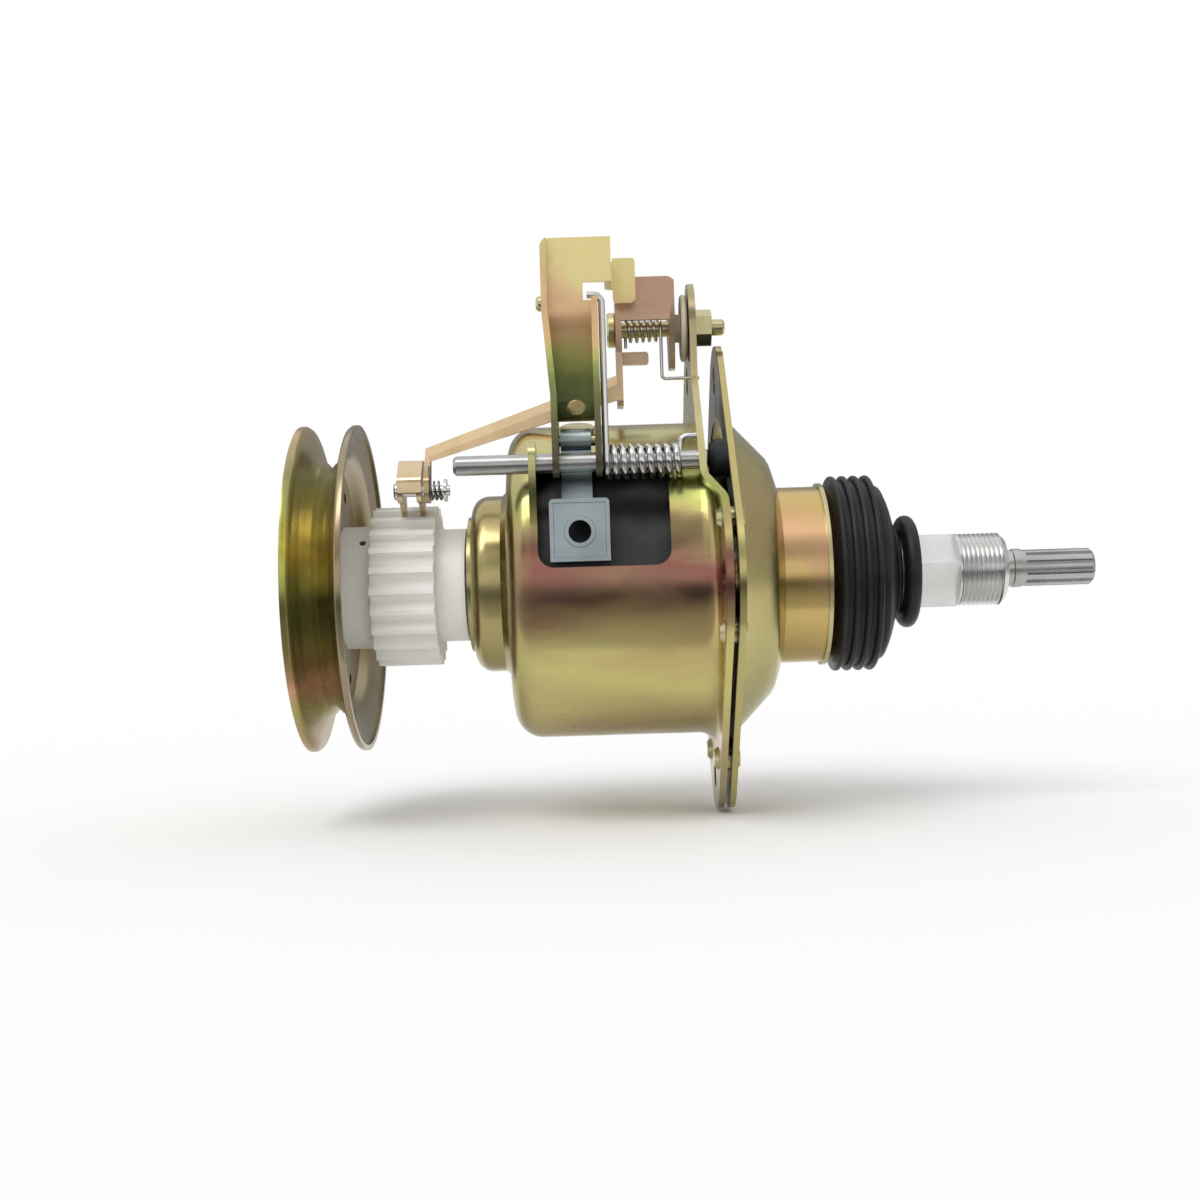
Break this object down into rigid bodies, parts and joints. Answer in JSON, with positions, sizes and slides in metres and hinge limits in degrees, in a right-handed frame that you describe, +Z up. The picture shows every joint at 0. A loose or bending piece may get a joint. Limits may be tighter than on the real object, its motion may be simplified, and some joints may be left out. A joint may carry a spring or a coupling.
{
  "type": "washing machine clutch",
  "caption": "Two-speed washer clutch with a V-belt pulley, ratchet wheel, brake lever and release fork, square flange, ribbed seal and splined drive shaft.",
  "frame": {"origin": "on the shaft axis, in the outer face of the square mounting flange", "axes": "+X along the shafts towards the splined end, +Z up towards the brake lever, -Y towards the side that carries the lever and the window"},
  "size_m": [0.2426, 0.1406, 0.1653],
  "materials": {
    "zinc_yellow": "yellow passivated zinc, glossy",
    "zinc_yellow_fork": "reddish yellow zinc, glossy",
    "zinc_blue": "clear zinc",
    "bright_steel": "polished steel",
    "dark_steel": "oiled steel",
    "nylon": "natural nylon, milky",
    "cream_plastic": "smooth",
    "black_rubber": "matt",
    "lining_brown": "woven friction lining",
    "bush_bronze": "sintered bronze"
  },
  "bodies": {
    "casing": {"lower_housing": "zinc_yellow", "upper_housing": "zinc_yellow", "flange_rivets": "zinc_yellow", "upper_bearing_outer_race": "bright_steel", "lower_bearing_outer_race": "bright_steel", "one_way_bearing": "bright_steel", "shaft_oil_seal": "black_rubber", "seal_retainer": "zinc_yellow", "tub_seal": "black_rubber", "brake_band": "bright_steel", "brake_lining": "lining_brown", "band_anchor": "zinc_yellow", "lever_pivot_pin": "bright_steel", "pivot_bumper": "black_rubber", "fork_bolt": "zinc_yellow", "fork_bush": "cream_plastic", "fork_nut": "zinc_yellow", "lever_spring": "bright_steel", "fork_spring": "bright_steel"},
    "drum": {"spin_shaft": "bright_steel", "brake_drum": "dark_steel", "drum_cover": "dark_steel", "ring_gear": "dark_steel", "lower_spin_shaft": "bright_steel", "lower_bushes": "bush_bronze", "upper_bushes": "bush_bronze", "shaft_ring": "black_rubber", "upper_bearing_inner_race": "bright_steel", "lower_bearing_inner_race": "bright_steel"},
    "input": {"input_shaft": "bright_steel", "sun_gear": "bright_steel", "clutch_sleeve": "bright_steel", "clutch_spring": "bright_steel", "pulley_outer_half": "zinc_yellow", "pulley_inner_half": "zinc_yellow", "lock_washer": "zinc_blue", "pulley_nut": "zinc_blue"},
    "carrier": {"planet_carrier": "dark_steel", "planet_pins": "bright_steel", "pulsator_shaft": "bright_steel"},
    "planet_1": {"planet_gear_1": "nylon"},
    "planet_2": {"planet_gear_2": "nylon"},
    "planet_3": {"planet_gear_3": "nylon"},
    "planet_4": {"planet_gear_4": "nylon"},
    "ratchet": {"ratchet_wheel": "nylon"},
    "lever": {"brake_lever": "zinc_yellow", "lever_rivet": "zinc_yellow", "clevis_pin": "zinc_yellow"},
    "clevis": {"band_clevis": "zinc_blue"},
    "fork": {"release_fork": "zinc_yellow_fork", "pawl_pin": "bright_steel", "pawl_spring": "dark_steel", "pawl_clip": "bright_steel"},
    "pawl_body": {"pawl": "zinc_blue"}
  },
  "joints": [
    {"name": "drum_spin", "type": "hinge", "parent": "casing", "child": "drum", "pos_m": [0, 0, 0], "axis": [1, 0, 0], "continuous": true},
    {"name": "input_spin", "type": "hinge", "parent": "drum", "child": "input", "pos_m": [-0.1188, 0, 0], "axis": [1, 0, 0], "continuous": true},
    {"name": "carrier_spin", "type": "hinge", "parent": "drum", "child": "carrier", "pos_m": [-0.02, 0, 0], "axis": [1, 0, 0], "continuous": true},
    {"name": "planet_1_spin", "type": "hinge", "parent": "carrier", "child": "planet_1", "pos_m": [-0.029, 0.01875, 0], "axis": [1, 0, 0], "continuous": true},
    {"name": "planet_2_spin", "type": "hinge", "parent": "carrier", "child": "planet_2", "pos_m": [-0.029, 0, 0.01875], "axis": [1, 0, 0], "continuous": true},
    {"name": "planet_3_spin", "type": "hinge", "parent": "carrier", "child": "planet_3", "pos_m": [-0.029, -0.01875, 0], "axis": [1, 0, 0], "continuous": true},
    {"name": "planet_4_spin", "type": "hinge", "parent": "carrier", "child": "planet_4", "pos_m": [-0.029, 0, -0.01875], "axis": [1, 0, 0], "continuous": true},
    {"name": "ratchet_spin", "type": "hinge", "parent": "drum", "child": "ratchet", "pos_m": [-0.098, 0, 0], "axis": [1, 0, 0], "continuous": true},
    {"name": "brake_lever_swing", "type": "hinge", "parent": "casing", "child": "lever", "pos_m": [-0.0445, -0.0412, 0.0328], "axis": [-1, 0, 0], "range_deg": [0, 7], "stiffness_Nm_per_rad": 0.8, "springref_deg": -28.65, "deforming": ["lever_spring"]},
    {"name": "clevis_swing", "type": "hinge", "parent": "lever", "child": "clevis", "pos_m": [-0.0445, -0.035, 0.0396], "axis": [-1, 0, 0], "range_deg": [-8, 0]},
    {"name": "fork_swing", "type": "hinge", "parent": "casing", "child": "fork", "pos_m": [-0.026, -0.008, 0.075], "axis": [-1, 0, 0], "range_deg": [0, 21], "stiffness_Nm_per_rad": 0.03, "springref_deg": -22.92, "deforming": ["fork_spring"]},
    {"name": "pawl_swing", "type": "hinge", "parent": "fork", "child": "pawl_body", "pos_m": [-0.0976, -0.019, 0.0277], "axis": [1, 0, 0], "range_deg": [0, 20], "stiffness_Nm_per_rad": 0.004, "springref_deg": -17.19, "deforming": ["pawl_spring"]}
  ],
  "couplings": [
    {"joint": "carrier_spin", "follows": "input_spin", "ratio": 0.2},
    {"joint": "planet_1_spin", "follows": "input_spin", "ratio": -0.53333},
    {"joint": "planet_2_spin", "follows": "input_spin", "ratio": -0.53333},
    {"joint": "planet_3_spin", "follows": "input_spin", "ratio": -0.53333},
    {"joint": "planet_4_spin", "follows": "input_spin", "ratio": -0.53333},
    {"joint": "clevis_swing", "follows": "brake_lever_swing", "ratio": -1},
    {"joint": "fork_swing", "follows": "brake_lever_swing", "ratio": 3}
  ]
}
